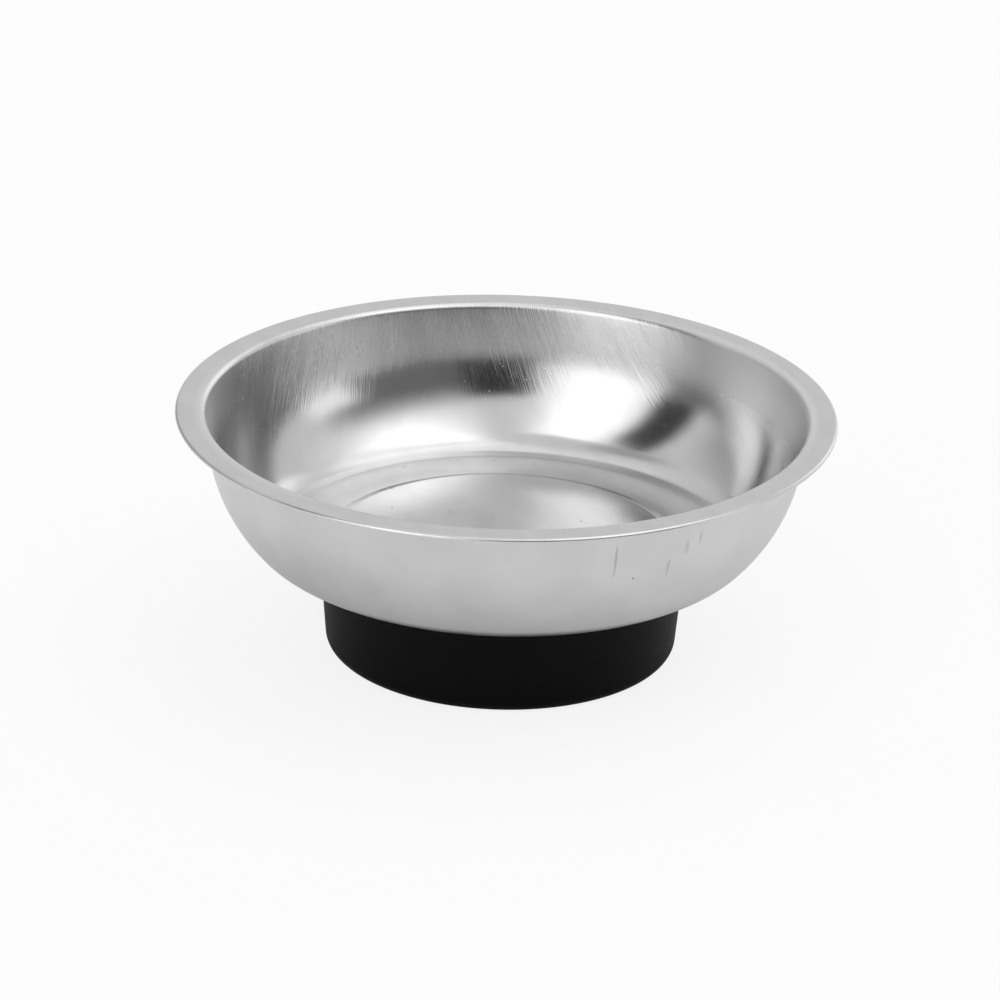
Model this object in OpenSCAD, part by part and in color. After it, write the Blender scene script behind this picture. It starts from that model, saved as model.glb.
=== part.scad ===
// Magnetic parts tray: a drawn sheet-metal bowl that stands on a ring magnet in a rubber boot.
// Lengths are in millimetres, angles in degrees. The foot stands on Z = 0, on the axis of the bowl.

/* [Bowl] */
// Diameter across the rim
rim_d = 108; // [105:0.5:114]
// Width of the flange, from the edge in to the line of the wall's outside
flange_w = 4.2; // [2.5:0.1:6]
// Depth from the top of the rim to the underside of the floor's flat ring
bowl_depth = 23.85; // [20:0.05:28]
// Thickness of the bowl's sheet
sheet_t = 0.6; // [0.4:0.05:1]
// Lean of the upper wall, as a share of the square of the wall's run over the bowl's depth
wall_lean_share = 0.6375; // [0.5:0.0005:0.8]
// Straight upper part of the wall, as a share of the bowl's depth
wall_straight_share = 0.33; // [0.2:0.0005:0.4]
// Outside radius of the corner where the wall meets the floor
corner_r = 9.2; // [5:0.1:10]
// Largest corner radius, as a share of the run from the floor out to the flange
corner_limit_share = 0.75; // [0.6:0.01:0.8]
// Radius under the flange where the wall turns out into it
rim_bend_r = 0.5; // [0.3:0.05:1.2]

/* [Floor of the bowl] */
// Width of the flat ring, which the boot's top bears on
ring_flat_w = 4.6; // [2.5:0.1:5]
// Width of the floor that curves up gently outside the flat ring
floor_curve_w = 2.95; // [2:0.05:4]
// Rise of that curve, up to the crease at the wall's foot
floor_rise = 0.15; // [0.05:0.05:0.3]
// Turn of the sheet at the crease
crease_turn = 6; // [2:0.5:10]
// Rise of the central disc above the flat ring
disc_rise = 0.5; // [0.2:0.05:0.8]
// Width of the slope up to the central disc
disc_slope_w = 2; // [1.6:0.1:3]
// Smaller bend radius of that slope
step_r = 0.5; // [0.3:0.05:0.7]

/* [Magnet] */
// Diameter of the ring magnet
magnet_d = 53; // [48:0.5:57]
// Diameter of the magnet's bore
magnet_bore_d = 23.5; // [21:0.5:30]
// Thickness of the magnet
magnet_h = 12; // [9:0.5:16]
// Chamfer on the magnet's edges
magnet_chamfer = 0.6; // [0.4:0.1:1]
// Thickness of the gasket between the magnet and the bowl
gasket_t = 0.5; // [0.3:0.1:1.5]
// How far the gasket stops short of the magnet's edges
gasket_inset = 0.75; // [0.3:0.05:2]

/* [Fastening] */
// Diameter of the stud that is welded under the bowl
stud_d = 5; // [4:0.5:6]
// Diameter of the stud's weld head
stud_head_d = 9; // [8:0.5:12]
// Thickness of the stud's weld head
stud_head_t = 0.9; // [0.6:0.1:1.5]
// Stud showing past the nut
stud_end = 1; // [0.5:0.1:2]
// Chamfer on the stud's tip
stud_chamfer = 0.6; // [0.3:0.1:1]
// Width across the nut's flats
nut_across = 8; // [7:0.5:10]
// Height of the nut
nut_h = 4; // [3:0.1:5]
// Angle of the chamfer on the nut's corners
nut_chamfer = 30; // [20:1:40]
// Outside diameter of the spring washer
washer_d = 9.2; // [8.4:0.1:11]
// Thickness of the spring washer
washer_t = 1.2; // [0.8:0.1:1.6]
// Gap of the spring washer's split
washer_gap = 0.8; // [0.4:0.1:1.5]
// Lean of the spring washer's split
washer_lean = 25; // [10:1:35]
// Thickness of the back plate
plate_t = 1.5; // [1:0.1:2]
// How far the back plate stands out past the magnet, to hold the boot
plate_lip = 0.7; // [0.3:0.1:1.2]
// Smaller bend radius of the back plate's dish
plate_bend_r = 0.6; // [0.4:0.1:0.8]

/* [Boot] */
// Thickness of the boot's bottom
boot_floor_t = 3.9; // [3:0.1:8]
// Thickness of the boot's wall beside the magnet, at the foot
boot_wall_t = 2.1; // [1.6:0.1:2.6]
// Lean of the boot's side from upright, wider at the top
boot_draft = 4.9; // [0:0.1:6]
// Radius of the boot's bottom edge
boot_edge_r = 2.2; // [0.5:0.1:3]
// Chamfer inside the boot's mouth
boot_lead = 0.6; // [0.3:0.1:1]
// Diameter of the recess under the foot
recess_d = 34; // [20:1:40]
// Depth of the recess under the foot
recess_h = 1.2; // [0.5:0.1:2]
// Width of the groove round the foot
groove_w = 1.6; // [0.8:0.1:2.5]
// Depth of the groove round the foot
groove_h = 0.7; // [0.3:0.1:1.5]

/* [Fits] */
// Room beside the magnet in its seat under the bowl
seat_clearance = 0.9; // [0.4:0.1:1.2]
// Room beside the magnet in the boot
pocket_clearance = 0.2; // [0.1:0.05:0.5]
// Room round the back plate in the boot's groove
lip_clearance = 0.15; // [0.05:0.05:0.4]
// Room beside the dish in the magnet's bore
dish_clearance = 0.25; // [0.1:0.05:0.5]
// Room round the stud in the back plate and the washer
hole_clearance = 0.15; // [0.05:0.05:0.4]
// Room round the stud in the nut
thread_clearance = 0.02; // [0.01:0.01:0.05]
// Room under the stud's tip
tip_clearance = 0.3; // [0.1:0.1:1]

/* [Hidden] */

// How far a cutting shape runs past what it cuts
overrun = 1;
// Largest turn between two points of an arc
arc_step = 5;
// Sides that a drawn circle is shown with
$fn = 96;
hex_sides = 6;
right_angle = 90;

// Heights, from the foot up
plate_z = boot_floor_t;
magnet_z = plate_z + plate_t;
gasket_z = magnet_z + magnet_h;
seat_z = gasket_z + gasket_t;
ring_z = seat_z - disc_rise;
crease_z = ring_z + floor_rise;
rim_z = ring_z + bowl_depth;

// Radii of the bowl's floor, from the axis out
magnet_r = magnet_d / 2;
bore_r = magnet_bore_d / 2;
disc_r = magnet_r + seat_clearance;
disc_foot_r = disc_r + disc_slope_w;
ring_r = disc_foot_r + ring_flat_w;
floor_r = ring_r + floor_curve_w;

// The floor's curve leaves the flat ring level and ends at the crease
floor_curve_r = (pow(floor_curve_w, 2) + pow(floor_rise, 2)) / (2 * floor_rise);
floor_slope = 2 * atan2(floor_rise, floor_curve_w);
crease_slope = floor_slope + crease_turn;

// The wall leans and curves to fill the run between the floor and the flange
wall_top = [rim_d / 2 - flange_w, rim_z];
wall_run = wall_top.x - floor_r;
wall_draft = atan2(wall_lean_share * pow(wall_run, 2), pow(bowl_depth, 2));
wall_slope = right_angle - wall_draft;
wall_down = [-sin(wall_draft), -cos(wall_draft)];
wall_inward = [-cos(wall_draft), sin(wall_draft)];
corner_fit_r = min(corner_r, corner_limit_share * wall_run);
corner_c = [floor_r - corner_fit_r * sin(crease_slope), crease_z + corner_fit_r * cos(crease_slope)];

// The wall's curve starts at the end of the straight part and touches the corner's arc
curve_top = wall_top + wall_straight_share * bowl_depth * wall_down;
curve_reach = curve_top - corner_c;
curve_gap = curve_reach * wall_inward + corner_fit_r;
wall_r = (pow(corner_fit_r, 2) - curve_reach * curve_reach) / (2 * curve_gap);
wall_c = curve_top + wall_r * wall_inward;
corner_slope = atan2(corner_c.x - wall_c.x, wall_c.y - corner_c.y);

// The flange's bend touches the upper wall
bend_z = rim_z - sheet_t - rim_bend_r;
bend_drop = rim_z - bend_z - rim_bend_r * cos(wall_slope);
bend_c = [wall_top.x - bend_drop * tan(wall_draft) + rim_bend_r * sin(wall_slope), bend_z];

// Fastening in the magnet's bore
stud_r = stud_d / 2;
stud_tip_z = plate_z + tip_clearance;
nut_z = stud_tip_z + stud_end;
washer_z = nut_z + nut_h;
dish_z = washer_z + washer_t;
dish_wall_r = bore_r - dish_clearance - plate_t;
dish_depth = dish_z - plate_z;
plate_r = magnet_r + plate_lip;
hole_r = stud_r + hole_clearance;

// Boot
pocket_r = magnet_r + pocket_clearance;
lip_r = plate_r + lip_clearance;
boot_foot_r = pocket_r + boot_wall_t;
boot_top_r = boot_foot_r + ring_z * tan(boot_draft);
edge_c = [boot_foot_r + boot_edge_r * tan(boot_draft) - boot_edge_r / cos(boot_draft), boot_edge_r];
recess_r = recess_d / 2;
groove_r = (recess_r + edge_c.x) / 2;

// Number of straight pieces that stand for an arc
function arc_pieces(from, to) = ceil(abs(to - from) / arc_step);

// Points of an arc as [radius, height, slope], from one slope to another, with its centre above the sheet
function arc_under(c, r, from, to, first = 0) = [
    for (i = [first : arc_pieces(from, to)])
        let (a = from + (to - from) * i / arc_pieces(from, to))
        [c.x + r * sin(a), c.y - r * cos(a), a]
];

// The same with its centre below the sheet
function arc_over(c, r, from, to) = [
    for (i = [0 : arc_pieces(from, to)])
        let (a = from + (to - from) * i / arc_pieces(from, to))
        [c.x - r * sin(a), c.y + r * cos(a), a]
];

// Slope of the straight between two bends whose radii add up to reach
function step_slope(run, rise, reach) =
    atan2(reach, sqrt(run * run + pow(reach - rise, 2) - reach * reach)) - atan2(reach - rise, run);

// Underside of a sheet that falls by rise over run, going outwards from a point
function step_down(from, run, rise, r, t) =
    let (a = -step_slope(run, rise, r + r + t))
    concat(
        arc_over([from.x, from.y - r], r, 0, a),
        arc_under([from.x + run, from.y - rise + r + t], r + t, a, 0)
    );

// A turned sheet that lies on a path of [radius, height, slope]
module turned_sheet(path, t) {
    under = [for (p = path) [p.x, p.y]];
    over = [for (p = path) [p.x - t * sin(p.z), p.y + t * cos(p.z)]];
    back = [for (i = [len(over) - 1 : -1 : 0]) over[i]];
    rotate_extrude() polygon(concat(under, back));
}

module ring(r_in, r_out, h) {
    difference() {
        cylinder(r = r_out, h = h);
        translate([0, 0, -overrun]) cylinder(r = r_in, h = h + 2 * overrun);
    }
}

// Bowl with a stepped floor and a flat flange, drawn from one sheet
module bowl() {
    path = concat(
        [[0, seat_z, 0]],
        step_down([disc_r, seat_z], disc_slope_w, disc_rise, step_r, sheet_t),
        arc_under([ring_r, ring_z + floor_curve_r], floor_curve_r, 0, floor_slope),
        arc_under(corner_c, corner_fit_r, crease_slope, corner_slope, 1),
        arc_under(wall_c, wall_r, corner_slope, wall_slope, 1),
        arc_over(bend_c, rim_bend_r, wall_slope, 0),
        [[rim_d / 2, rim_z - sheet_t, 0]]
    );
    color("#c2c4c6") turned_sheet(path, sheet_t);
}

// Stud with a flat weld head, welded to the underside of the central disc
module weld_stud() {
    head_z = seat_z - stud_head_t;
    color("#b4b7ba") rotate_extrude() polygon([
        [0, stud_tip_z],
        [stud_r - stud_chamfer, stud_tip_z],
        [stud_r, stud_tip_z + stud_chamfer],
        [stud_r, head_z],
        [stud_head_d / 2, head_z],
        [stud_head_d / 2, seat_z],
        [0, seat_z]
    ]);
}

// Thin gasket that keeps the brittle magnet off the sheet
module magnet_gasket() {
    color("#3a3632") translate([0, 0, gasket_z])
        ring(bore_r + gasket_inset, magnet_r - gasket_inset, gasket_t);
}

// Ring magnet with chamfered edges
module ring_magnet() {
    top_z = magnet_z + magnet_h;
    color("#2f2f31") rotate_extrude() polygon([
        [bore_r + magnet_chamfer, magnet_z],
        [magnet_r - magnet_chamfer, magnet_z],
        [magnet_r, magnet_z + magnet_chamfer],
        [magnet_r, top_z - magnet_chamfer],
        [magnet_r - magnet_chamfer, top_z],
        [bore_r + magnet_chamfer, top_z],
        [bore_r, top_z - magnet_chamfer],
        [bore_r, magnet_z + magnet_chamfer]
    ]);
}

// Pressed plate under the magnet, with a dish that takes the nut up into the magnet's bore
module back_plate() {
    run = 2 * plate_bend_r + plate_t;
    path = concat(
        [[hole_r, dish_z, 0]],
        step_down([dish_wall_r - plate_bend_r, dish_z], run, dish_depth, plate_bend_r, plate_t),
        [[plate_r, plate_z, 0]]
    );
    color("#a5a9ad") turned_sheet(path, plate_t);
}

// Split spring washer, drawn flat as it is when the nut is tight
module spring_washer() {
    split = [washer_d, washer_gap, 2 * washer_t + 2 * overrun];
    color("#8e9194") translate([0, 0, washer_z]) difference() {
        ring(hole_r, washer_d / 2, washer_t);
        translate([split.x / 2, 0, washer_t / 2]) rotate([washer_lean, 0, 0]) cube(split, center = true);
    }
}

// Hexagon nut, chamfered at both ends
module hex_nut() {
    flat_r = nut_across / 2;
    corner = flat_r / cos(180 / hex_sides);
    blank_r = corner + overrun;
    fall = (blank_r - flat_r) * tan(nut_chamfer);
    color("#b9bcbf") translate([0, 0, nut_z]) difference() {
        intersection() {
            cylinder(r = corner, h = nut_h, $fn = hex_sides);
            rotate_extrude() polygon([
                [0, 0], [flat_r, 0], [blank_r, fall],
                [blank_r, nut_h - fall], [flat_r, nut_h], [0, nut_h]
            ]);
        }
        translate([0, 0, -overrun]) cylinder(r = stud_r + thread_clearance, h = nut_h + 2 * overrun);
    }
}

// Moulded boot round the magnet, with a groove that grips the back plate
module rubber_boot() {
    grip_z = magnet_z + lip_clearance;
    outside = [for (p = arc_under(edge_c, boot_edge_r, 0, right_angle - boot_draft)) [p.x, p.y]];
    color("#171717") rotate_extrude() polygon(concat(
        [
            [0, recess_h], [recess_r, recess_h], [recess_r, 0],
            [groove_r - groove_w / 2, 0], [groove_r - groove_w / 2, groove_h],
            [groove_r + groove_w / 2, groove_h], [groove_r + groove_w / 2, 0]
        ],
        outside,
        [
            [boot_top_r, ring_z],
            [pocket_r + boot_lead, ring_z], [pocket_r, ring_z - boot_lead],
            [pocket_r, grip_z], [lip_r, grip_z], [lip_r, boot_floor_t], [0, boot_floor_t]
        ]
    ));
}

bowl();
weld_stud();
magnet_gasket();
ring_magnet();
back_plate();
spring_washer();
hex_nut();
rubber_boot();
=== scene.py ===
"""Looks of a magnetic parts tray: a brushed steel bowl on a ring magnet in a rubber boot."""
import math
from collections import namedtuple

import bpy
from mathutils import Matrix, Vector


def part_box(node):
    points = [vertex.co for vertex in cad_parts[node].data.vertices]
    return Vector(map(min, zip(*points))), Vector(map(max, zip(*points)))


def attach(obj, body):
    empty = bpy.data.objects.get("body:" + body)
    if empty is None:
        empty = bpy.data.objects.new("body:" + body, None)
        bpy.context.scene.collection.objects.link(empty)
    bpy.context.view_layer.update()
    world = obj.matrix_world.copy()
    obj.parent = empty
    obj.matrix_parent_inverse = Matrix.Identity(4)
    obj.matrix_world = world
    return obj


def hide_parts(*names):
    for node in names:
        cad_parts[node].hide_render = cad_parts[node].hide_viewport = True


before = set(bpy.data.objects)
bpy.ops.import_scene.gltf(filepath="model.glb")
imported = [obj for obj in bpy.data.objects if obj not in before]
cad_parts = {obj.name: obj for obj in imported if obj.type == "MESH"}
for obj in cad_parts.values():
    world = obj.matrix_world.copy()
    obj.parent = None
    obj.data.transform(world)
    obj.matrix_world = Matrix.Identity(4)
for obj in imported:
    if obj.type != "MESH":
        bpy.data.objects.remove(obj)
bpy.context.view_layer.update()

MM = 0.001
BODY = "root"

# Bowl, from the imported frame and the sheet's own sizes
RIM_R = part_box("bowl")[1].x
RIM_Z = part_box("bowl")[1].z
SEAT_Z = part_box("magnet_gasket")[1].z
RING_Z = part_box("rubber_boot")[1].z
MAGNET_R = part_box("ring_magnet")[1].x
SHEET_T = 0.6 * MM
FLANGE_W = 4.2 * MM
RIM_BEND_R = 0.5 * MM
RIM_EDGE_R = 0.46 * MM
RIM_BURR_R = 0.1 * MM
STEP_R = 0.5 * MM
SEAT_CLEARANCE = 0.9 * MM
DISC_SLOPE_W = 2 * MM
RING_FLAT_W = 4.6 * MM
FLOOR_CURVE_W = 2.95 * MM
FLOOR_RISE = 0.15 * MM
CREASE_TURN = math.radians(6)
CREASE_HALF_W = 0.06 * MM
CORNER_R = 9.2 * MM
WALL_LEAN_SHARE = 0.3435
WALL_STRAIGHT_SHARE = 0.33

# Boot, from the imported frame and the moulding's own sizes
BOOT_FOOT_R = 28.8 * MM
BOOT_DRAFT = math.radians(4.9)
BOOT_EDGE_R = 2.2 * MM
BOOT_LIP_R = 0.35 * MM
BOOT_POCKET_GAP = 0.2 * MM
BOOT_POCKET_R = MAGNET_R + BOOT_POCKET_GAP
BOOT_LEAD = 0.6 * MM
BOOT_GROOVE_GAP = 0.15 * MM
BOOT_GROOVE_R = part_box("back_plate")[1].x + BOOT_GROOVE_GAP
BOOT_GROOVE_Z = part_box("ring_magnet")[0].z + BOOT_GROOVE_GAP
BOOT_FLOOR_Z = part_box("back_plate")[0].z
RECESS_R = 17 * MM
RECESS_H = 1.2 * MM
FOOT_GROOVE_W = 1.6 * MM
FOOT_GROOVE_H = 0.7 * MM
FOOT_FILLET_R = 0.25 * MM

# How finely the turned meshes are cut
BOWL_TURN_STEPS = 384
BOOT_TURN_STEPS = 256
ARC_STEP = math.radians(3)
BOWL_FLAT_STEP = 1.5 * MM
BOOT_FLAT_STEP = 3 * MM
# A point nearer to the axis than this lies on it
ON_AXIS = 1e-9

# Camera, found by fitting the rim, the wall's outline and the foot to the photograph
PHOTO_SIZE = 1000
FOCAL_PIXELS = 5304
SENSOR = 36
CAMERA_NEAR = 0.05
CAMERA_FAR = 100
CAMERA_DISTANCE = 865 * MM
CAMERA_PITCH = math.radians(22.653)
CAMERA_ROLL = math.radians(1.619)
CAMERA_ASIDE = 1.07 * MM
CAMERA_BELOW = 14.713 * MM

# Studio cards as seen from the tray: azimuth from +Y towards +X and elevation, each with the half width of
# its soft edge, in degrees. A later card covers an earlier one.
Card = namedtuple("Card", "name az_from az_to az_edge el_from el_to el_edge brightness")
STUDIO_CARDS = [
    Card("back_wash", 20, 58, 90, 50, 106, 5, 1.7),
    Card("left_wall", 275, 345, 11, -20, 29, 17, 0.37),
    Card("ceiling", 255, 290, 12, 48, 68, 9, 0.4),
    Card("key_box", 199, 241, 14, -20, 62, 3, 1.65),
    Card("top_box", 84, 149, 31, 46, 82, 19, 2.0),
    Card("right_flag", 101, 183, 15, -11, 34, 11, 0.17),
    Card("camera_flag", 163, 191, 3, 2, 34, 4, 0.02),
    Card("left_flag", 244, 264, 5, 8, 51, 6, 0.05),
    Card("side_box", 90, 114, 5, 4, 22, 5, 1.2),
    Card("back_box", 22, 50, 8, 4, 36, 8, 1.3),
]
STUDIO_LEVEL = 0.74
WHITE = (1, 1, 1, 1)

# Floor; the shares are of plain white as the camera and as metal or glass see it, and the rest is shaded
FLOOR_HALF_W = 20
FLOOR_BELOW = 0.02 * MM
FLOOR_PALE = 0.95
FLOOR_SEEN_SHARE = 0.85
FLOOR_MIRRORED_SHARE = 0.1

# Brushing on the flat blank, whose direction is turned from +Y towards -X
BLANK_MAP = "blank"
BRUSH_TURN = math.radians(19)
# Grain on the blank in millimetres, across the brushing, along it and up
STREAK_SIZES = (0.6, 16, 1)
HAIR_SIZES = (0.22, 7, 1)
PATCH_SIZES = (5, 11, 1)
WAVE_SIZES = (14, 14, 1)
DRAWN_SIZES = (0.5, 12, 1)
STREAK_DEPTH = 0.02 * MM
HAIR_DEPTH = 0.028 * MM
WAVE_DEPTH = 0.03 * MM
# Distances from the middle of the blank over which a change comes in, in millimetres
BRUSHING_STARTS = (46, 56)
BRUSHING_STOPS = (65, 66.5)
WALL_DULLS = (51, 60)
SIDES_START = (54, 62)
# Where the painted shade of small pits on the floor stops
PIT_SHADE_STOPS = (35, 37)
DUST_STARTS = (44, 50)
# Share of a point's distance that lies along the brushing: low on the side walls, high at back and front
ENDWISE_SHARES = (0.35, 0.75)
SIDE_BRUSHING_SHARE = 0.45
PATCH_BRUSHING_SHARES = (0.5, 1.2)
FLOOR_ROUGHNESS = 0.15
WALL_ROUGHNESS = 0.27
SIDES_ROUGHER = 0.1
STREAKS_ROUGHER = 0.1
DUST_ROUGHNESS = 0.8
BRUSHED_ANISOTROPY = 0.65

# Rubbed marks on the bowl's outside: azimuth from the front towards +X in degrees, height and half sizes in
# millimetres, strength from 0 to 1
Scuff = namedtuple("Scuff", "azimuth height half_w half_l strength")
SCUFFS = [
    Scuff(21.3, 34.6, 0.3, 3.4, 0.5),
    Scuff(32.8, 31.6, 0.4, 1.9, 0.35),
    Scuff(36.5, 34.4, 0.5, 1.6, 0.3),
    Scuff(39.5, 35.6, 0.35, 1.5, 0.3),
    Scuff(25.5, 30.6, 0.25, 0.25, 1.0),
]
# A mark fades over this span of the distance from its middle, in half sizes, to which noise adds up to one
SCUFF_FADES = (0.8, 1.7)

# The part of a noise's span in which most of its values lie
NOISE_MIDDLE = (0.3, 0.7)
PATCH_MIDDLE = (0.35, 0.65)


def arc_steps(turn):
    return max(2, math.ceil(abs(turn) / ARC_STEP))


def arc_under(centre, r, start, end):
    """Points [radius, height, slope] of an arc whose centre lies above the sheet."""
    n = arc_steps(end - start)
    slopes = [start + (end - start) * i / n for i in range(n + 1)]
    return [(centre[0] + r * math.sin(a), centre[1] - r * math.cos(a), a) for a in slopes]


def arc_over(centre, r, start, end):
    """The same for an arc whose centre lies below the sheet."""
    n = arc_steps(end - start)
    slopes = [start + (end - start) * i / n for i in range(n + 1)]
    return [(centre[0] - r * math.sin(a), centre[1] + r * math.cos(a), a) for a in slopes]


def step_down(r, z, run, rise):
    """Underside of the sheet where it falls by rise over run, going outwards."""
    reach = 2 * STEP_R + SHEET_T
    slant = math.atan2(reach, math.sqrt(run * run + (reach - rise) ** 2 - reach * reach))
    slope = math.atan2(reach - rise, run) - slant
    return (arc_over((r, z - STEP_R), STEP_R, 0, slope)
            + arc_under((r + run, z - rise + STEP_R + SHEET_T), STEP_R + SHEET_T, slope, 0))


def bowl_path():
    """Underside of the bowl's sheet from the axis out to the rim, as [radius, height, slope]."""
    disc_r = MAGNET_R + SEAT_CLEARANCE
    ring_r = disc_r + DISC_SLOPE_W + RING_FLAT_W
    floor_r = ring_r + FLOOR_CURVE_W
    floor_curve_r = (FLOOR_CURVE_W ** 2 + FLOOR_RISE ** 2) / (2 * FLOOR_RISE)
    floor_slope = 2 * math.atan2(FLOOR_RISE, FLOOR_CURVE_W)
    crease_slope = floor_slope + CREASE_TURN
    wall_r = RIM_R - FLANGE_W
    depth = RIM_Z - RING_Z
    draft = math.atan2(WALL_LEAN_SHARE * (wall_r - floor_r), depth)
    down = Vector((-math.sin(draft), -math.cos(draft)))
    inward = Vector((-math.cos(draft), math.sin(draft)))
    corner = Vector((-math.sin(crease_slope), math.cos(crease_slope))) * CORNER_R
    corner += Vector((floor_r, RING_Z + FLOOR_RISE))
    top = Vector((wall_r, RIM_Z)) + WALL_STRAIGHT_SHARE * depth * down
    reach = top - corner
    curve_r = (CORNER_R ** 2 - reach.dot(reach)) / (2 * (reach.dot(inward) + CORNER_R))
    curve = top + curve_r * inward
    corner_slope = math.atan2(corner.x - curve.x, curve.y - corner.y)
    before_crease = floor_slope - CREASE_HALF_W / floor_curve_r
    after_crease = crease_slope + CREASE_HALF_W / CORNER_R
    wall_slope = math.pi / 2 - draft
    bend_z = RIM_Z - SHEET_T - RIM_BEND_R
    drop = RIM_Z - bend_z - RIM_BEND_R * math.cos(wall_slope)
    bend = (wall_r - drop * math.tan(draft) + RIM_BEND_R * math.sin(wall_slope), bend_z)
    return ([(0, SEAT_Z, 0)]
            + step_down(disc_r, SEAT_Z, DISC_SLOPE_W, SEAT_Z - RING_Z)
            + arc_under((ring_r, RING_Z + floor_curve_r), floor_curve_r, 0, before_crease)
            + [(floor_r, RING_Z + FLOOR_RISE, (floor_slope + crease_slope) / 2)]
            + arc_under(corner, CORNER_R, after_crease, corner_slope)
            + arc_under(curve, curve_r, corner_slope, wall_slope)[1:]
            + arc_over(bend, RIM_BEND_R, wall_slope, 0)
            + [(RIM_R, RIM_Z - SHEET_T, 0)])


def fill_in(points, longest):
    """Adds points to the straight stretches, so that no piece is longer than asked for."""
    filled = [points[0]]
    for a, b in zip(points, points[1:]):
        n = max(1, math.ceil(math.dist(a[:2], b[:2]) / longest))
        for i in range(1, n + 1):
            filled.append(tuple(x + (y - x) * i / n for x, y in zip(a, b)))
    return filled


def rounded(corners):
    """An outline of [radius, height] from corners of [radius, height, fillet]."""
    outline = [corners[0][:2]]
    for before, at, after in zip(corners, corners[1:], corners[2:]):
        fillet = at[2]
        if fillet == 0:
            outline.append(at[:2])
            continue
        corner = Vector(at[:2])
        a = (Vector(before[:2]) - corner).normalized()
        b = (Vector(after[:2]) - corner).normalized()
        half = a.angle(b) / 2
        cut = fillet / math.tan(half)
        centre = corner + (a + b).normalized() * (fillet / math.sin(half))
        start = corner + a * cut - centre
        turn = start.angle_signed(corner + b * cut - centre)
        n = arc_steps(turn)
        for i in range(n + 1):
            spun = Matrix.Rotation(-turn * i / n, 2) @ start
            outline.append(tuple(centre + spun))
    outline.append(corners[-1][:2])
    return outline


def turned(name, outline, steps):
    """A mesh object turned about the axis; its outline of [radius, height] starts and ends on the axis."""
    verts, rings = [], []
    for r, z in outline:
        if r < ON_AXIS:
            rings.append([len(verts)])
            verts.append((0, 0, z))
            continue
        rings.append([len(verts) + i for i in range(steps)])
        for i in range(steps):
            a = 2 * math.pi * i / steps
            verts.append((r * math.cos(a), r * math.sin(a), z))
    faces = []
    for a, b in zip(rings, rings[1:]):
        for i in range(steps):
            j = (i + 1) % steps
            if len(a) == 1:
                faces.append((a[0], b[i], b[j]))
            elif len(b) == 1:
                faces.append((a[i], b[0], a[j]))
            else:
                faces.append((a[i], b[i], b[j], a[j]))
    mesh = bpy.data.meshes.new(name)
    mesh.from_pydata(verts, [], faces)
    mesh.polygons.foreach_set("use_smooth", [True] * len(faces))
    mesh.update()
    made = bpy.data.objects.new(name, mesh)
    bpy.context.scene.collection.objects.link(made)
    return made


def plug(tree, socket, value):
    """Sets a socket to a value, or links it to another node's output."""
    if isinstance(value, bpy.types.NodeSocket):
        tree.links.new(value, socket)
    else:
        socket.default_value = value


def node(tree, kind, inputs=None, **settings):
    """Adds a shader node; an input is a value or another node's output."""
    made = tree.nodes.new(kind)
    for name, value in settings.items():
        setattr(made, name, value)
    for name, value in (inputs or {}).items():
        plug(tree, made.inputs[name], value)
    return made


def math_node(tree, operation, *values):
    return node(tree, "ShaderNodeMath", dict(enumerate(values)), operation=operation).outputs[0]


def product(tree, first, *others):
    result = first
    for value in others:
        result = math_node(tree, "MULTIPLY", result, value)
    return result


def ramp(tree, value, low, high, to_low=0.0, to_high=1.0):
    """Maps low..high of a value smoothly to to_low..to_high, clamped."""
    made = node(tree, "ShaderNodeMapRange", {
        "Value": value, "From Min": low, "From Max": high, "To Min": to_low, "To Max": to_high,
    }, interpolation_type="SMOOTHSTEP")
    return made.outputs["Result"]


def spread(tree, texture, to_low=0.0, to_high=1.0):
    """Maps the middle of a noise's span to to_low..to_high."""
    return ramp(tree, texture, *NOISE_MIDDLE, to_low, to_high)


def new_material(name, metallic=0.0):
    made = bpy.data.materials.new(name)
    made.use_nodes = True
    shader = made.node_tree.nodes["Principled BSDF"]
    shader.inputs["Metallic"].default_value = metallic
    return made, made.node_tree, shader


def link_surface(tree, shader, colour, roughness, normal):
    """Links what varies over a surface to its shader."""
    tree.links.new(colour, shader.inputs["Base Color"])
    tree.links.new(roughness, shader.inputs["Roughness"])
    tree.links.new(normal, shader.inputs["Normal"])


def object_place(tree):
    return node(tree, "ShaderNodeTexCoord").outputs["Object"]


def blank_place(tree):
    return node(tree, "ShaderNodeUVMap", uv_map=BLANK_MAP).outputs["UV"]


def noise(tree, vector, size, detail, roughness=0.5):
    """Noise with a grain of about the size, in the units of the vector."""
    made = node(tree, "ShaderNodeTexNoise", {
        "Vector": vector, "Scale": 1 / size, "Detail": detail, "Roughness": roughness,
    })
    return made.outputs["Fac"]


def drawn_out(tree, vector, sizes, detail, roughness=0.5):
    """Noise with a grain that has a size of its own along each axis."""
    made = node(tree, "ShaderNodeMapping", {"Vector": vector, "Scale": [1 / size for size in sizes]})
    return noise(tree, made.outputs["Vector"], 1, detail, roughness)


def bump(tree, height, depth, normal=None):
    inputs = {"Height": height, "Distance": depth, "Strength": 1.0}
    if normal is not None:
        inputs["Normal"] = normal
    return node(tree, "ShaderNodeBump", inputs).outputs["Normal"]


def grey(level):
    return (level, level, level, 1)


def mixed(tree, share, first, second):
    """A colour between two; each is a colour or another node's output."""
    made = node(tree, "ShaderNodeMix", {"Factor": share}, data_type="RGBA")
    sockets = {socket.identifier: socket for socket in [*made.inputs, *made.outputs]}
    plug(tree, sockets["A_Color"], first)
    plug(tree, sockets["B_Color"], second)
    return sockets["Result_Color"]


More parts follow.
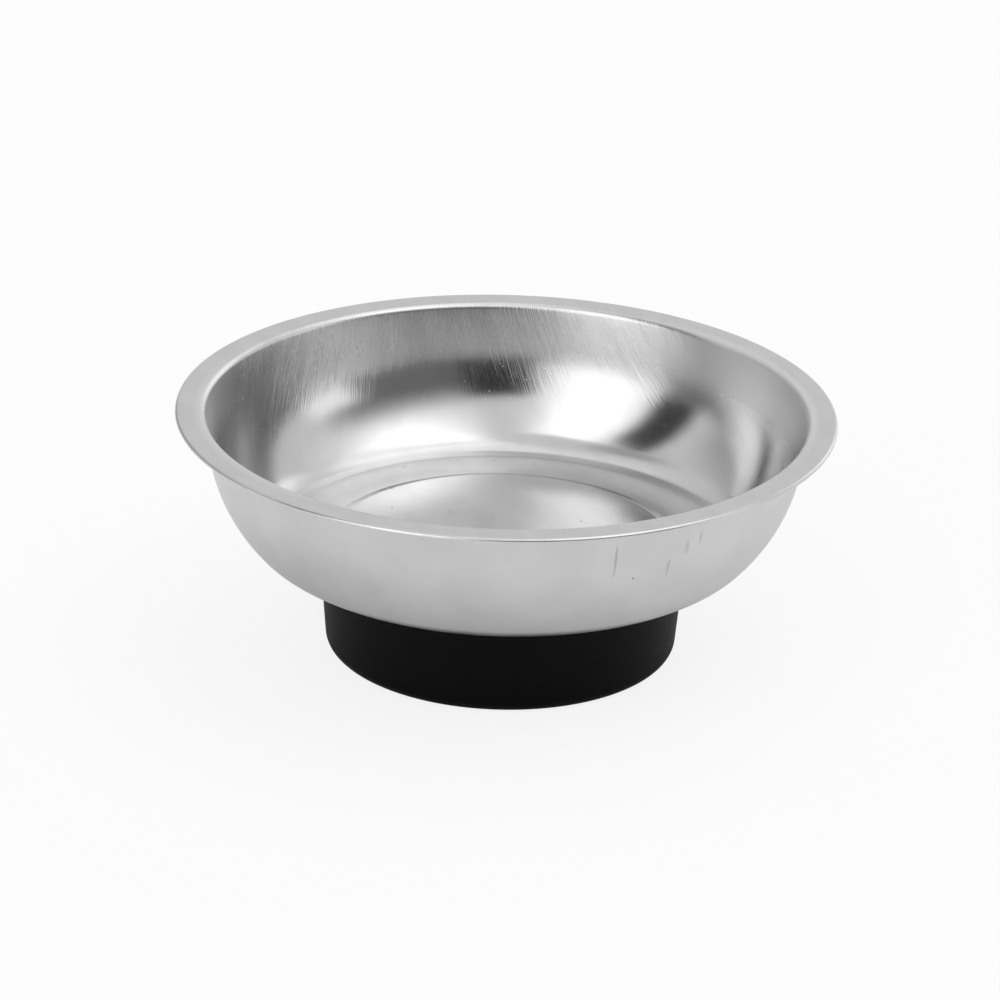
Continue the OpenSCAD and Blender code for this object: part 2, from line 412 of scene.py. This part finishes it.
def specks(tree, vector, cell, size, share, dimensions):
    """Mask of scattered round specks, one in a share of the cells, in the units of the vector."""
    cells = node(tree, "ShaderNodeTexVoronoi", {"Vector": vector, "Scale": 1 / cell},
                 voronoi_dimensions=dimensions)
    near = ramp(tree, cells.outputs["Distance"], 0.5 * size / cell, size / cell, 1.0, 0.0)
    pick = node(tree, "ShaderNodeSeparateColor", {"Color": cells.outputs["Color"]}).outputs["Red"]
    return product(tree, near, math_node(tree, "LESS_THAN", pick, share))


def endwise_share(tree, blank, reach):
    """Share of a point's distance from the middle of the blank that lies along the brushing."""
    along = node(tree, "ShaderNodeSeparateXYZ", {"Vector": blank}).outputs["Y"]
    return math_node(tree, "DIVIDE", math_node(tree, "ABSOLUTE", along), reach)


def brush_relief(tree, blank, streaks, wall):
    """Normal of the brushed sheet: long waves all over, streaks and hairs on the wall."""
    waves = drawn_out(tree, blank, WAVE_SIZES, detail=1)
    hairs = drawn_out(tree, blank, HAIR_SIZES, detail=2)
    normal = bump(tree, waves, WAVE_DEPTH)
    normal = bump(tree, product(tree, streaks, wall), STREAK_DEPTH, normal)
    return bump(tree, product(tree, hairs, wall), HAIR_DEPTH, normal)


def brush_roughness(tree, reach, streaks, wall, sides, dust):
    """Roughness of the brushed sheet: smooth on the floor, duller up the wall and in dust."""
    uneven = product(tree, math_node(tree, "SUBTRACT", streaks, 0.5), wall)
    rough = ramp(tree, reach, *WALL_DULLS, FLOOR_ROUGHNESS, WALL_ROUGHNESS)
    rough = math_node(tree, "MULTIPLY_ADD", sides, SIDES_ROUGHER, rough)
    rough = math_node(tree, "MULTIPLY_ADD", uneven, STREAKS_ROUGHER, rough)
    return math_node(tree, "MAXIMUM", rough, product(tree, dust, DUST_ROUGHNESS))


def brushed_steel():
    """Inside of the bowl: linear brushing on the blank, carried over into the drawn shape."""
    made, tree, shader = new_material("brushed_steel", metallic=1)
    blank = blank_place(tree)
    reach = node(tree, "ShaderNodeVectorMath", {0: blank}, operation="LENGTH").outputs["Value"]
    endwise = endwise_share(tree, blank, reach)
    patches = drawn_out(tree, blank, PATCH_SIZES, detail=2)
    streaks = drawn_out(tree, blank, STREAK_SIZES, detail=4, roughness=0.6)
    below_rim = ramp(tree, reach, *BRUSHING_STOPS, 1.0, 0.0)
    wall = product(tree, ramp(tree, reach, *BRUSHING_STARTS), below_rim,
                   ramp(tree, patches, *PATCH_MIDDLE, *PATCH_BRUSHING_SHARES),
                   ramp(tree, endwise, *ENDWISE_SHARES, SIDE_BRUSHING_SHARE, 1.0))
    sides = product(tree, ramp(tree, endwise, *ENDWISE_SHARES, 1.0, 0.0),
                    ramp(tree, reach, *SIDES_START), below_rim)
    # Painted shade: dark specks on the floor stand for the shade in small pits, with no dent in the relief
    pit_shade = product(tree, specks(tree, blank, cell=7, size=0.2, share=0.4, dimensions="2D"),
                   ramp(tree, reach, *PIT_SHADE_STOPS, 1.0, 0.0))
    dust = product(tree, specks(tree, blank, cell=4, size=0.11, share=0.3, dimensions="2D"),
                   ramp(tree, reach, *DUST_STARTS))
    colour = mixed(tree, spread(tree, patches), grey(0.67), grey(0.71))
    # Painted sheen: the side walls get a paler grey that stands in for the light their rougher brushing
    # gathers
    colour = mixed(tree, sides, colour, grey(0.79))
    colour = mixed(tree, pit_shade, colour, grey(0.08))
    colour = mixed(tree, dust, colour, grey(0.95))
    rough = brush_roughness(tree, reach, streaks, wall, sides, dust)
    link_surface(tree, shader, colour, rough, brush_relief(tree, blank, streaks, wall))
    tangent = node(tree, "ShaderNodeTangent", direction_type="UV_MAP", uv_map=BLANK_MAP)
    tree.links.new(tangent.outputs["Tangent"], shader.inputs["Tangent"])
    shader.inputs["Anisotropic"].default_value = BRUSHED_ANISOTROPY
    return made


def scuffed(tree, place):
    """Mask of the rubbed marks on the bowl's outside."""
    axes = node(tree, "ShaderNodeSeparateXYZ", {"Vector": place}).outputs
    azimuth = math_node(tree, "ARCTAN2", axes["X"], math_node(tree, "MULTIPLY", axes["Y"], -1.0))
    worn = noise(tree, place, 0.5 * MM, detail=2)
    mask = 0.0
    for scuff in SCUFFS:
        aside = math_node(tree, "SUBTRACT", azimuth, math.radians(scuff.azimuth))
        aside = math_node(tree, "MULTIPLY", aside, RIM_R / MM / scuff.half_w)
        along = math_node(tree, "SUBTRACT", axes["Z"], scuff.height * MM)
        along = math_node(tree, "MULTIPLY", along, 1 / MM / scuff.half_l)
        square = math_node(tree, "MULTIPLY_ADD", aside, aside, product(tree, along, along))
        ragged = math_node(tree, "ADD", math_node(tree, "SQRT", square), worn)
        mark = ramp(tree, ragged, *SCUFF_FADES, scuff.strength, 0.0)
        mask = math_node(tree, "MAXIMUM", mask, mark)
    return mask


def satin_steel():
    """Outside of the bowl: dull mill finish, a little cloudy, with a few rubbed marks."""
    made, tree, shader = new_material("satin_steel", metallic=1)
    place = object_place(tree)
    grain = noise(tree, place, 0.25 * MM, detail=2)
    clouds = noise(tree, place, 9 * MM, detail=3)
    drawn = drawn_out(tree, blank_place(tree), DRAWN_SIZES, detail=3)
    colour = mixed(tree, spread(tree, clouds), grey(0.65), grey(0.7))
    colour = mixed(tree, scuffed(tree, place), colour, grey(0.28))
    normal = bump(tree, grain, 0.002 * MM, bump(tree, drawn, 0.004 * MM))
    link_surface(tree, shader, colour, spread(tree, clouds, 0.3, 0.36), normal)
    return made


def boot_rubber():
    """Moulded black rubber with a fine grain and a little dust."""
    made, tree, shader = new_material("boot_rubber")
    place = object_place(tree)
    grain = noise(tree, place, 0.3 * MM, detail=3)
    dust = specks(tree, place, cell=2.2 * MM, size=0.13 * MM, share=0.3, dimensions="3D")
    colour = mixed(tree, dust, grey(0.002), grey(0.06))
    link_surface(tree, shader, colour, spread(tree, grain, 0.42, 0.55), bump(tree, grain, 0.01 * MM))
    shader.inputs["Specular IOR Level"].default_value = 0.09
    return made


def plated_steel(name, light, dark, smooth, dull):
    """Plated steel: cloudy, with a fine grain."""
    made, tree, shader = new_material(name, metallic=1)
    place = object_place(tree)
    clouds = noise(tree, place, 2.5 * MM, detail=3)
    grain = noise(tree, place, 0.2 * MM, detail=2)
    colour = mixed(tree, spread(tree, clouds), light, dark)
    link_surface(tree, shader, colour, spread(tree, clouds, smooth, dull), bump(tree, grain, 0.004 * MM))
    return made


def ground_ferrite():
    """Pressed ferrite: dark grey, matt, ground flat with short lines."""
    made, tree, shader = new_material("ferrite")
    place = object_place(tree)
    lines = drawn_out(tree, place, (0.2 * MM, 4 * MM, MM), detail=3)
    pores = specks(tree, place, cell=1.6 * MM, size=0.2 * MM, share=0.4, dimensions="3D")
    colour = mixed(tree, spread(tree, lines), (0.075, 0.075, 0.08, 1), (0.11, 0.11, 0.115, 1))
    colour = mixed(tree, pores, colour, grey(0.02))
    link_surface(tree, shader, colour, spread(tree, lines, 0.5, 0.68), bump(tree, lines, 0.006 * MM))
    shader.inputs["Specular IOR Level"].default_value = 0.35
    return made


def gasket_sheet():
    """Thin dark rubber sheet with paler flecks."""
    made, tree, shader = new_material("gasket_rubber")
    place = object_place(tree)
    weave = noise(tree, place, 0.4 * MM, detail=4)
    flecks = specks(tree, place, cell=1.2 * MM, size=0.15 * MM, share=0.35, dimensions="3D")
    colour = mixed(tree, spread(tree, weave), (0.045, 0.042, 0.04, 1), (0.075, 0.07, 0.065, 1))
    colour = mixed(tree, flecks, colour, (0.16, 0.15, 0.14, 1))
    link_surface(tree, shader, colour, spread(tree, weave, 0.7, 0.9), bump(tree, weave, 0.015 * MM))
    shader.inputs["Specular IOR Level"].default_value = 0.2
    return made


def finish_inner_pieces():
    """Materials of the hidden CAD nodes, whose shapes stay as they are."""
    zinc = plated_steel("plated_steel", (0.58, 0.59, 0.6, 1), (0.53, 0.54, 0.55, 1), 0.24, 0.36)
    spring = plated_steel("spring_steel", (0.38, 0.39, 0.4, 1), (0.33, 0.34, 0.35, 1), 0.38, 0.5)
    finishes = {
        "weld_stud": zinc, "back_plate": zinc, "hex_nut": zinc, "spring_washer": spring,
        "ring_magnet": ground_ferrite(), "magnet_gasket": gasket_sheet(),
    }
    for name, material in finishes.items():
        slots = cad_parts[name].data.materials
        slots.clear()
        slots.append(material)


def make_bowl():
    """The bowl's sheet, brushed inside and satin outside."""
    under = fill_in(bowl_path(), BOWL_FLAT_STEP)
    inside = [(r - SHEET_T * math.sin(a), z + SHEET_T * math.cos(a)) for r, z, a in under]
    outside = [(r, z) for r, z, a in under]
    edge = [(*inside[-2], 0), (*inside[-1], RIM_EDGE_R), (*outside[-1], RIM_BURR_R), (*outside[-2], 0)]
    rim = rounded(edge)[1:-1]
    bowl = turned("bowl_sheet", inside[:-1] + rim + outside[-2::-1], BOWL_TURN_STEPS)
    lengths = [0]
    for a, b in zip(outside, outside[1:]):
        lengths.append(lengths[-1] + math.dist(a, b))
    add_blank_map(bowl.data, lengths[:-1] + [lengths[-1]] * len(rim) + lengths[-2::-1])
    bowl.data.materials.append(brushed_steel())
    bowl.data.materials.append(satin_steel())
    first_outside = (len(inside) - 1 + len(rim) // 2) * BOWL_TURN_STEPS
    materials = [int(face >= first_outside) for face in range(len(bowl.data.polygons))]
    bowl.data.polygons.foreach_set("material_index", materials)
    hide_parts("bowl")
    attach(bowl, BODY)


def add_blank_map(mesh, lengths):
    """Places on the flat blank before drawing, in millimetres, from each ring's length along the sheet."""
    layer = mesh.uv_layers.new(name=BLANK_MAP)
    reach = []
    for length in lengths:
        reach += [length / MM] * (BOWL_TURN_STEPS if length else 1)
    for loop in mesh.loops:
        v = mesh.vertices[loop.vertex_index].co
        s = reach[loop.vertex_index]
        phi = math.atan2(v.y, v.x) - BRUSH_TURN
        layer.data[loop.index].uv = (s * math.cos(phi), s * math.sin(phi))


def make_boot():
    """The rubber boot, hollow for the magnet stack, with a recess and a groove under its foot."""
    top_r = BOOT_FOOT_R + RING_Z * math.tan(BOOT_DRAFT)
    groove = (RECESS_R + BOOT_FOOT_R - BOOT_EDGE_R) / 2
    half = FOOT_GROOVE_W / 2
    f = FOOT_FILLET_R
    corners = [
        (0, RECESS_H, 0), (RECESS_R, RECESS_H, f), (RECESS_R, 0, f),
        (groove - half, 0, f), (groove - half, FOOT_GROOVE_H, f),
        (groove + half, FOOT_GROOVE_H, f), (groove + half, 0, f),
        (BOOT_FOOT_R, 0, BOOT_EDGE_R), (top_r, RING_Z, BOOT_LIP_R),
        (BOOT_POCKET_R + BOOT_LEAD, RING_Z, f), (BOOT_POCKET_R, RING_Z - BOOT_LEAD, f),
        (BOOT_POCKET_R, BOOT_GROOVE_Z, f), (BOOT_GROOVE_R, BOOT_GROOVE_Z, 0),
        (BOOT_GROOVE_R, BOOT_FLOOR_Z, 0), (0, BOOT_FLOOR_Z, 0),
    ]
    boot = turned("boot_moulding", fill_in(rounded(corners), BOOT_FLAT_STEP), BOOT_TURN_STEPS)
    boot.data.materials.append(boot_rubber())
    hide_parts("rubber_boot")
    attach(boot, BODY)


def card_mask(tree, azimuth, elevation, card):
    """Mask of one studio card, with soft edges."""
    middle = math.radians((card.az_from + card.az_to) / 2)
    half = math.radians((card.az_to - card.az_from) / 2)
    soft = math.radians(card.az_edge)
    aside = math_node(tree, "SUBTRACT", azimuth, middle)
    aside = math_node(tree, "ABSOLUTE", math_node(tree, "WRAP", aside, math.pi, -math.pi))
    across = ramp(tree, aside, half - soft, half + soft, 1.0, 0.0)
    low = math.radians(card.el_from)
    high = math.radians(card.el_to)
    soft = math.radians(card.el_edge)
    above = ramp(tree, elevation, low - soft, low + soft)
    below = ramp(tree, elevation, high - soft, high + soft, 1.0, 0.0)
    return product(tree, above, below, across)


def make_world():
    """A dome of soft cards over an even level."""
    world = bpy.data.worlds.new("studio")
    bpy.context.scene.world = world
    world.use_nodes = True
    tree = world.node_tree
    direction = node(tree, "ShaderNodeTexCoord").outputs["Generated"]
    axes = node(tree, "ShaderNodeSeparateXYZ", {"Vector": direction}).outputs
    azimuth = math_node(tree, "ARCTAN2", axes["X"], axes["Y"])
    elevation = math_node(tree, "ARCSINE", axes["Z"])
    level = STUDIO_LEVEL
    for card in STUDIO_CARDS:
        inputs = {"Factor": card_mask(tree, azimuth, elevation, card), "A": level, "B": card.brightness}
        level = node(tree, "ShaderNodeMix", inputs, label=card.name).outputs["Result"]
    background = tree.nodes["Background"]
    background.inputs["Color"].default_value = WHITE
    tree.links.new(level, background.inputs["Strength"])


def floor_white():
    """Pale floor that the camera and metal see as nearly plain white, with the tray's shadow."""
    made, tree, shader = new_material("floor_white")
    shader.inputs["Base Color"].default_value = grey(FLOOR_PALE)
    shader.inputs["Roughness"].default_value = 1
    shader.inputs["Specular IOR Level"].default_value = 0
    rays = node(tree, "ShaderNodeLightPath").outputs
    mirrored = math_node(tree, "MAXIMUM", rays["Is Glossy Ray"], rays["Is Transmission Ray"])
    mirrored = product(tree, mirrored, FLOOR_MIRRORED_SHARE)
    share = math_node(tree, "MULTIPLY_ADD", rays["Is Camera Ray"], FLOOR_SEEN_SHARE, mirrored)
    white = node(tree, "ShaderNodeEmission", {"Color": WHITE, "Strength": 1.0}).outputs[0]
    mix = node(tree, "ShaderNodeMixShader", {0: share, 1: shader.outputs[0], 2: white})
    tree.links.new(mix.outputs[0], tree.nodes["Material Output"].inputs["Surface"])
    return made


def make_floor():
    mesh = bpy.data.meshes.new("floor")
    s = FLOOR_HALF_W
    mesh.from_pydata([(-s, -s, 0), (s, -s, 0), (s, s, 0), (-s, s, 0)], [], [(0, 1, 2, 3)])
    mesh.materials.append(floor_white())
    floor = bpy.data.objects.new("floor", mesh)
    floor.location.z = -FLOOR_BELOW
    bpy.context.scene.collection.objects.link(floor)


def make_camera():
    data = bpy.data.cameras.new("camera")
    data.sensor_width = SENSOR
    data.lens = FOCAL_PIXELS / PHOTO_SIZE * SENSOR
    data.clip_start = CAMERA_NEAR
    data.clip_end = CAMERA_FAR
    camera = bpy.data.objects.new("camera", data)
    bpy.context.scene.collection.objects.link(camera)
    back = Vector((0, -math.cos(CAMERA_PITCH), math.sin(CAMERA_PITCH)))
    right = Vector((1, 0, 0))
    up = back.cross(right)
    across = math.cos(CAMERA_ROLL) * right + math.sin(CAMERA_ROLL) * up
    upright = math.cos(CAMERA_ROLL) * up - math.sin(CAMERA_ROLL) * right
    place = Vector((0, 0, RIM_Z)) + CAMERA_DISTANCE * back
    place -= CAMERA_ASIDE * across + CAMERA_BELOW * upright
    turn = Matrix((across, upright, back)).transposed().to_4x4()
    camera.matrix_world = Matrix.Translation(place) @ turn
    bpy.context.scene.camera = camera


make_bowl()
make_boot()
finish_inner_pieces()
make_floor()
make_world()
make_camera()
bpy.context.scene.view_settings.view_transform = "Standard"
